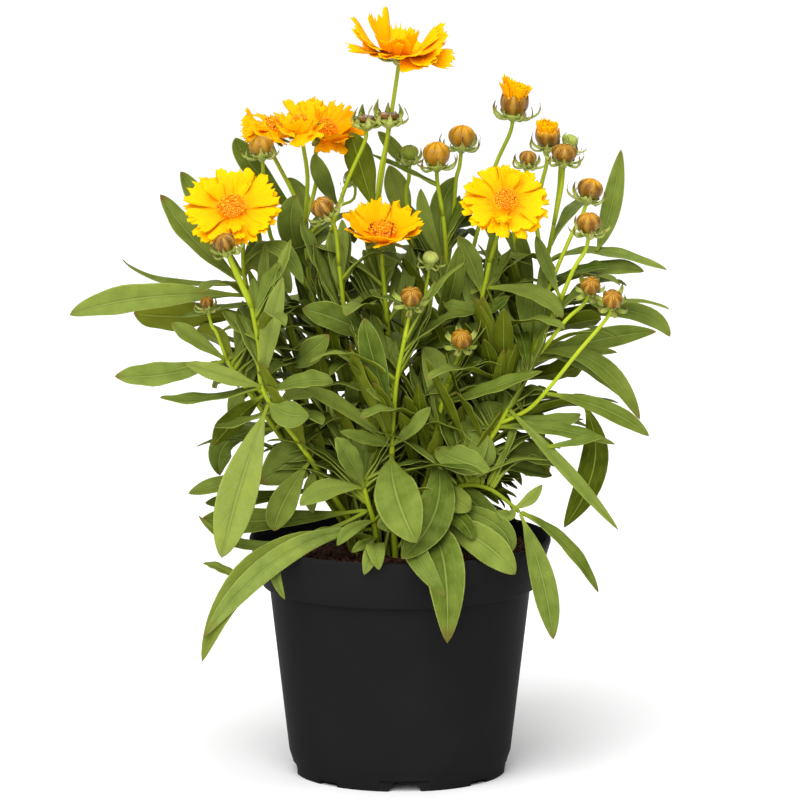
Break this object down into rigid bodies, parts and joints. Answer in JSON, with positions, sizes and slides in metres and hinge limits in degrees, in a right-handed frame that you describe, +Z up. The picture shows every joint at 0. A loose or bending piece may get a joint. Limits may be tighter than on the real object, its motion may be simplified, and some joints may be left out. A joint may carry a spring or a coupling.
{
  "type": "potted coreopsis plant",
  "caption": "Bushy garden perennial with lance-shaped leaves, yellow daisy-like blooms and brown buds, in a filled round nursery pot that stands on its foot.",
  "frame": {"origin": "centre of the flat pad under the pot, on the surface it stands on", "axes": "+Z up along the pot's axis; -Y is the front, where most of the blooms look; +X to the right seen from the front"},
  "size_m": [0.374, 0.2493, 0.4786],
  "materials": {
    "pot": "satin black injection-moulded polypropylene",
    "soil": "rough moist peat",
    "foliage": "dull grey-green leaves and bright green stalks",
    "petals": "velvety golden yellow",
    "disc": "granular orange florets",
    "bud": "dull brown bracts"
  },
  "bodies": {
    "root": {"pot": "pot", "soil": "soil", "shoot_low_left": "foliage", "shoot_low_right": "foliage", "shoot_left_front": "foliage", "shoot_left_back": "foliage", "shoot_left_high": "foliage", "shoot_up_left": "foliage", "shoot_mid_left": "foliage", "shoot_centre": "foliage", "shoot_mid_high": "foliage", "shoot_right_centre": "foliage", "shoot_right_bloom": "foliage", "shoot_right": "foliage", "shoot_right_low": "foliage", "shoot_right_back": "foliage", "shoot_up_right": "foliage", "shoot_back_left": "foliage", "shoot_back": "foliage", "shoot_back_right": "foliage", "petals_top": "petals", "petals_left": "petals", "petals_middle": "petals", "petals_right": "petals", "petals_upper_left": "petals", "petals_upper_front": "petals", "petals_upper_right": "petals", "petals_half_open": "petals", "petals_opening": "petals", "disc_top": "disc", "disc_left": "disc", "disc_middle": "disc", "disc_right": "disc", "disc_upper_left": "disc", "disc_upper_front": "disc", "disc_upper_right": "disc", "bud_left": "bud", "bud_far_left": "bud", "bud_under_petals": "bud", "bud_mid_left": "bud", "bud_centre": "bud", "bud_right_centre": "bud", "bud_right": "bud", "bud_right_low": "bud", "bud_right_high": "bud", "bud_far_right": "bud", "bud_upper_right": "bud", "bud_opening": "bud", "bud_behind_bloom": "bud", "bud_yellow": "bud", "bud_brown": "bud", "bud_half_open": "bud", "cup_upper_left": "bud", "cup_upper_right": "bud"}
  },
  "joints": []
}
